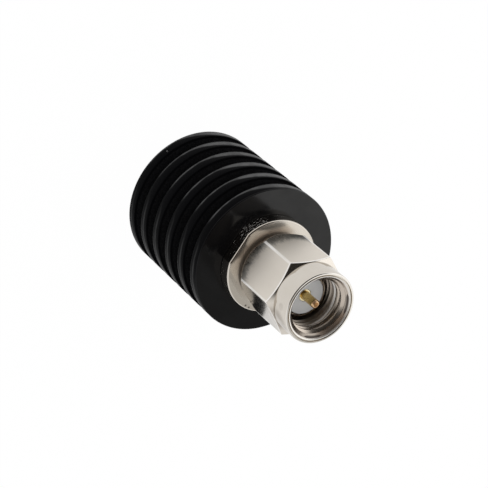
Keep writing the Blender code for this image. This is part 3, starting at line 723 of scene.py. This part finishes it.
def nut_nickel():
    """Nickel plate of the nut: drawn on its facets, turned beyond them, burnished and painted with
    highlights on its edges, with painted shade on the nose and in the bore and mouth.

    The two facets beside the matt corner are matt and painted lighter, with a painted dark reflection at
    their rear, and the one below them mirrors and carries a faint painted dark reflection.
    """
    finish = new_finish("nickel_plate_nut")
    place = finish.place()
    x, y, z = finish.along(place)
    radius = finish.radius(x, y)
    colour, roughness, height = plated(finish, place, marks_of_lathe(finish, x, y, z))
    below_front = NUT_FRONT - z - (radius - NUT_NOSE_RADIUS) * math.tan(NUT_FRONT_CHAMFER)
    bar = finish.between(below_front, 0.00001, 0.00004)
    drawn = finish.noise(finish.stretched(place, (1.0, 1.0, 0.30)), 8000.0, detail=3.0)
    patches = finish.noise(finish.stretched(place, (1.0, 1.0, 0.6)), 1400.0, detail=3.0)
    towards_corner = finish.towards(x, y, NUT_MATT_CORNER)
    matt_side = finish.between(towards_corner, NUT_FLAT_RADIUS * 0.45, NUT_FLAT_RADIUS * 0.60)
    by_corner = finish.between(towards_corner, NUT_FLAT_RADIUS * 0.80, NUT_FLAT_RADIUS * 1.05)
    hatch = (drawn - 0.5) * NUT_HATCH_SHIFT + (patches - 0.5) * NUT_PATCH_SHIFT
    matt = bar * matt_side * finish.between(z + hatch - by_corner * 0.0003, *NUT_MATT_FADE)
    # A painted dark reflection at the rear of the two matt facets, stronger on the top one
    from_chamfer = z - NUT_REAR - (radius - NUT_REAR_RADIUS) / math.tan(NUT_REAR_CHAMFER)
    top_side = finish.between(y, NUT_FLAT_RADIUS * -0.62, NUT_FLAT_RADIUS * -0.56, 1.0, 0.0)
    darkening = finish.between(from_chamfer + hatch - top_side * 0.0003, 0.0002, 0.0016, 1.0, 0.0)
    darkening = bar * matt_side * darkening * finish.between(from_chamfer, 0.0, 0.00006)
    darkening = darkening * (0.66 + top_side * 0.22)
    lower_facet = finish.between(finish.towards(x, y, NUT_LOWER_FACET),
                                 NUT_FLAT_RADIUS - 0.00020, NUT_FLAT_RADIUS - 0.00005)
    across = y * math.cos(NUT_LOWER_FACET) - x * math.sin(NUT_LOWER_FACET)
    # A faint painted dark reflection over the front half of the lower facet
    ragged = z + (patches - 0.5) * NUT_REFLECTION_SHIFT
    painted_reflection = finish.between(ragged - across * NUT_REFLECTION_SLOPE, *NUT_REFLECTION_TOP, 1.0, 0.0)
    painted_reflection = painted_reflection * finish.between(ragged, *NUT_REFLECTION_FOOT) * lower_facet * bar
    # Corners, front edges, lip and rim take a pale, less metallic colour: some burnish and a painted
    # highlight
    corner = finish.between(radius, NUT_CORNER_START - 0.00002, NUT_CORNER_START + 0.00003)
    corner = corner * finish.between(z, *NUT_BRIGHT_CORNER_FADE, 1.0, 0.6)
    front = finish.between(below_front, NUT_EDGE * 1.5, NUT_EDGE * 0.6)
    burnish_and_highlight = (corner + front - corner * front) * bar * (1 - darkening * 0.3)
    lip = finish.between(radius, MOUTH_RADIUS + MOUTH_INNER_EDGE, MOUTH_RADIUS + MOUTH_INNER_EDGE * 0.85)
    lip = lip * finish.between(z, NUT_MOUTH - MOUTH_INNER_EDGE, NUT_MOUTH - MOUTH_INNER_EDGE * 0.6)
    inside = finish.between(radius, MOUTH_RADIUS + 0.00008, MOUTH_RADIUS)
    rim = finish.between(z, NUT_MOUTH - MOUTH_EDGE, NUT_MOUTH) * (1 - inside)
    # The first spot is painted shade at the lower end of the nose with a smudge in it, the second a small
    # smudge
    for centre, size, strength in NOSE_SHADE_AND_SMUDGE_SPOTS:
        shade_and_smudge = finish.spot(place, centre, size) * finish.between(patches, 0.35, 0.60, 0.6, 1.0)
        colour = finish.mix(shade_and_smudge * strength, colour, NOSE_SHADE_AND_SMUDGE)
    # Painted light: the matt facets take a lighter colour than the plate, for the light they catch
    colour = finish.mix(matt * 0.7, colour, MATT_NICKEL_PAINTED_LIGHT)
    # Painted dark reflection at the rear of the matt facets
    colour = finish.mix(darkening, colour, REAR_FACET_PAINTED_REFLECTION)
    # Faint painted dark reflection on the lower facet
    colour = finish.mix(painted_reflection * 0.42, colour, LOWER_FACET_PAINTED_REFLECTION)
    # Painted shade: the bore and mouth take a darker brown plate
    colour = finish.mix(inside * 0.8, colour, BORE_NICKEL_PAINTED_SHADE)
    # Painted shade: dark crescents in the mouth where the first thread groove lies in shadow
    for centre, size in MOUTH_SHADE_SPOTS:
        half = finish.spot(place, centre, size * 1.3) * MOUTH_SHADE_HALF + 0.00001
        mouth_shade = finish.between(abs(z - MOUTH_SHADE_HEIGHT) / half, 0.2, 1.0, 1.0, 0.0) * inside
        colour = finish.mix(mouth_shade * 0.92, colour, MOUTH_PAINTED_SHADE)
    burnish_and_highlight = burnish_and_highlight + lip * 0.42
    # Burnish and painted highlight on the edges
    colour = finish.mix(burnish_and_highlight * 0.9 + rim * 0.5, colour, BURNISH_AND_HIGHLIGHT)
    rough = roughness + bar * (0.13 + drawn * 0.06) * (1 - lower_facet * 0.8)
    rough = rough + matt * (0.12 + patches * 0.08) + inside * 0.13
    finish.set(Base_Color=colour,
               Metallic=1.0 - burnish_and_highlight * 0.6,
               Roughness=rough + burnish_and_highlight * 0.05,
               Normal=finish.bump(height + bar * (drawn * 0.55 + patches * 0.45), 0.3, 0.00002))
    return finish


def gold():
    """Worn gold plate: painted paler on its shoulder as a highlight, and coppery at the tip of the pin with
    painted shade in its middle.
    """
    finish = new_finish("gold_plate")
    place = finish.place()
    x, y, z = finish.along(place)
    marks = marks_of_lathe(finish, x, y, z)
    scratches = finish.noise(finish.stretched(place, (1.0, 1.0, 0.15)), 14000.0, detail=3.0)
    blotch = finish.noise(place, 3200.0, detail=3.0, distortion=0.6)
    worn = finish.between(z + (blotch - 0.5) * 0.0001, PIN_END - 0.00022, PIN_END - 0.00012)
    plate = finish.mix(blotch, *GOLD)
    # Painted highlight: the shoulder, collar and line wider than the pin take a paler gold
    step = finish.between(finish.radius(x, y), PIN_RADIUS + 0.00003, PIN_RADIUS + 0.00006)
    plate = finish.mix(step, plate, GOLD_PAINTED_HIGHLIGHT)
    # Painted shade: the middle of the coppery tip is darker
    middle = finish.between(finish.radius(x, y), PIN_TIP_RADIUS * 0.6, PIN_TIP_RADIUS * 0.85, 1.0, 0.0)
    copper = finish.mix(middle, *COPPER_AND_PAINTED_SHADE)
    finish.set(Base_Color=finish.mix(worn, plate, copper),
               Metallic=1.0,
               Roughness=0.16 + scratches * 0.14 + blotch * 0.06,
               Normal=finish.bump(marks * 0.5 + scratches * 0.5, 0.10, 0.000008))
    return finish


def white_dielectric():
    """Milky fluoropolymer with the rings of facing."""
    finish = new_finish("white_dielectric")
    place = finish.place()
    x, y, z = finish.along(place)
    marks = marks_of_lathe(finish, x, y, z)
    mottle = finish.noise(place, 1100.0, detail=4.0)
    finish.set(Base_Color=finish.mix(mottle, *MILKY_WHITE),
               Roughness=0.38 + marks * 0.16,
               Normal=finish.bump(marks, 0.12, 0.000012))
    return finish


def black_rubber():
    """Moulded rubber with a faintly grainy skin."""
    finish = new_finish("black_rubber")
    place = finish.place()
    grain = finish.noise(place, 9000.0, detail=3.0)
    bloom = finish.noise(place, 1500.0, detail=3.0)
    finish.set(Base_Color=finish.mix(bloom, *RUBBER),
               Roughness=0.62 + bloom * 0.2,
               Normal=finish.bump(grain, 0.25, 0.00002))
    return finish


def turned_metal(name, colours, roughness):
    """A plain turned or drawn metal for the pieces inside."""
    finish = new_finish(name)
    place = finish.place()
    x, y, z = finish.along(place)
    marks = marks_of_lathe(finish, x, y, z)
    darkening = finish.noise(place, 900.0, detail=4.0, distortion=0.6)
    finish.set(Base_Color=finish.mix(darkening, *colours),
               Metallic=1.0,
               Roughness=roughness + marks * 0.12 + darkening * 0.08,
               Normal=finish.bump(marks, 0.12, 0.00001))
    return finish


def fired(name, colours, roughness):
    """Ceramic or glaze for the resistor."""
    finish = new_finish(name)
    place = finish.place()
    speckle = finish.noise(place, 6000.0, detail=4.0)
    finish.set(Base_Color=finish.mix(speckle, *colours),
               Roughness=roughness + speckle * 0.15,
               Normal=finish.bump(speckle, 0.15, 0.00001))
    return finish


def repaint(node, finish):
    """Give a CAD node that stays its finish."""
    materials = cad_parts[node].data.materials
    materials.clear()
    materials.append(finish.owner)


def make_floor():
    """A pale floor that shows white, with the object's faint shadow on it."""
    shape = bmesh.new()
    bmesh.ops.create_grid(shape, x_segments=1, y_segments=1, size=FLOOR_SIZE)
    floor = new_object("studio_floor", shape)
    finish = new_finish("pale_floor")
    paths = finish.node("ShaderNodeLightPath").socket.node.outputs
    mirrored = Value(finish, paths["Is Glossy Ray"]) + Value(finish, paths["Is Transmission Ray"])
    seen = Value(finish, paths["Is Camera Ray"]) * FLOOR_GLOW + mirrored * FLOOR_MIRRORED_GLOW
    finish.set(Base_Color=FLOOR_COLOUR, Roughness=0.9, Specular_IOR_Level=0.0)
    glow = finish.node("ShaderNodeEmission", inputs={"Color": (1.0, 1.0, 1.0, 1.0), "Strength": 1.0})
    output = finish.tree.nodes["Material Output"]
    mixed = finish.node("ShaderNodeMixShader", inputs={0: seen})
    finish.tree.links.new(finish.shader.outputs[0], mixed.socket.node.inputs[1])
    finish.tree.links.new(glow.socket, mixed.socket.node.inputs[2])
    finish.tree.links.new(mixed.socket, output.inputs["Surface"])
    floor.data.materials.append(finish.owner)


def towards(azimuth, elevation):
    """The direction with this azimuth, from +X towards +Y, and this height above the floor."""
    turn, rise = math.radians(azimuth), math.radians(elevation)
    return Vector((math.cos(turn) * math.cos(rise), math.sin(turn) * math.cos(rise), math.sin(rise)))


def light_room():
    """Light the part from a plain white room, with a soft card beside its grey wall.

    Only what the metal and gloss mirror meets a grey, a brown and a dark wall.
    """
    world = bpy.data.worlds.new("studio")
    bpy.context.scene.world = world
    room = Finish(world)
    direction = room.node("ShaderNodeTexCoord", output="Generated")
    walls = WHITE
    height = room.along(direction)[2]
    low, high = (math.sin(math.radians(angle)) for angle in WALL_FOOT)
    above_foot = room.between(height, low, high)
    for centre, (inner, outer), colour in ((GREY_WALL, GREY_WALL_SPREAD, GREY_WALL_COLOUR),
                                           (BROWN_WALL, BROWN_WALL_SPREAD, BROWN_WALL_COLOUR),
                                           (DARK_WALL, DARK_WALL_SPREAD, DARK_WALL_COLOUR)):
        facing = room.node("ShaderNodeVectorMath", {"operation": "DOT_PRODUCT"},
                           {0: direction, 1: towards(*centre)}, output="Value")
        inside = room.between(facing, math.cos(math.radians(outer)), math.cos(math.radians(inner)))
        walls = room.mix(inside * above_foot, walls, colour)
    mirrored = Value(room, room.node("ShaderNodeLightPath").socket.node.outputs["Is Glossy Ray"])
    background = room.tree.nodes["Background"]
    room.feed(background.inputs["Color"], room.mix(mirrored, WHITE, walls))
    background.inputs["Strength"].default_value = 1.0

    lamp = bpy.data.lights.new("soft_card", "AREA")
    lamp.shape = "RECTANGLE"
    lamp.size, lamp.size_y = CARD_SIZE
    lamp.energy = CARD_POWER
    stand = bpy.data.objects.new("soft_card", lamp)
    away = towards(*GREY_WALL)
    sideways = Vector((0, 0, 1)).cross(away).normalized()
    stand.location = Vector((0, 0, SINK_LENGTH)) + away * CARD_DISTANCE + sideways * CARD_SIZE[0] / 2
    stand.rotation_euler = Matrix((sideways, away.cross(sideways), away)).transposed().to_euler()
    bpy.context.scene.collection.objects.link(stand)


def place_camera():
    """The camera of the photograph, in the frame of the object."""
    data = bpy.data.cameras.new("photo_camera")
    data.sensor_width = 36.0
    data.lens = CAMERA_LENS
    data.clip_start = 0.005
    data.clip_end = 10.0
    camera = bpy.data.objects.new("photo_camera", data)
    turn = Matrix((CAMERA_RIGHT, CAMERA_UP, CAMERA_RIGHT.cross(CAMERA_UP))).transposed()
    camera.matrix_world = Matrix.Translation(CAMERA_PLACE) @ turn.to_4x4()
    bpy.context.scene.collection.objects.link(camera)
    bpy.context.scene.camera = camera


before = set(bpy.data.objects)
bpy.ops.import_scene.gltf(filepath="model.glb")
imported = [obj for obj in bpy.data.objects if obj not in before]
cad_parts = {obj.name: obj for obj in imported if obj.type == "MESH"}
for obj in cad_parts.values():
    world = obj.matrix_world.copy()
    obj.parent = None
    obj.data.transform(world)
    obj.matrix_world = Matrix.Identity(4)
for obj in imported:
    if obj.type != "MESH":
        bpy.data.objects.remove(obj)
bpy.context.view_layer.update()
bpy.context.scene.view_settings.view_transform = "Standard"

white_bead = white_dielectric()
silver = turned_metal("silver_plate", SILVER, 0.22)
brass = turned_metal("turned_brass", BRASS, 0.25)

finish_piece(make_heat_sink(), "heat_sink", "load", black_anodised())
finish_piece(make_connector_body(), "connector_body", "load", body_nickel())
finish_piece(make_coupling_nut(), "coupling_nut", "nut", nut_nickel())
finish_piece(make_front_insulator(), "front_insulator", "load", white_bead)
finish_piece(make_centre_contact(), "centre_contact", "load", gold())
finish_piece(make_seal_ring(), "seal_ring", "load", black_rubber())

repaint("retaining_ring", turned_metal("spring_bronze", BRONZE, 0.30))
repaint("rear_insulator", white_bead)
repaint("resistor_rod", fired("white_ceramic", CERAMIC, 0.50))
repaint("resistor_film", fired("resistor_glaze", GLAZE, 0.28))
repaint("input_cap", silver)
repaint("ground_cap", silver)
repaint("ground_collet", brass)
repaint("taper_sleeve", brass)

make_floor()
light_room()
place_camera()
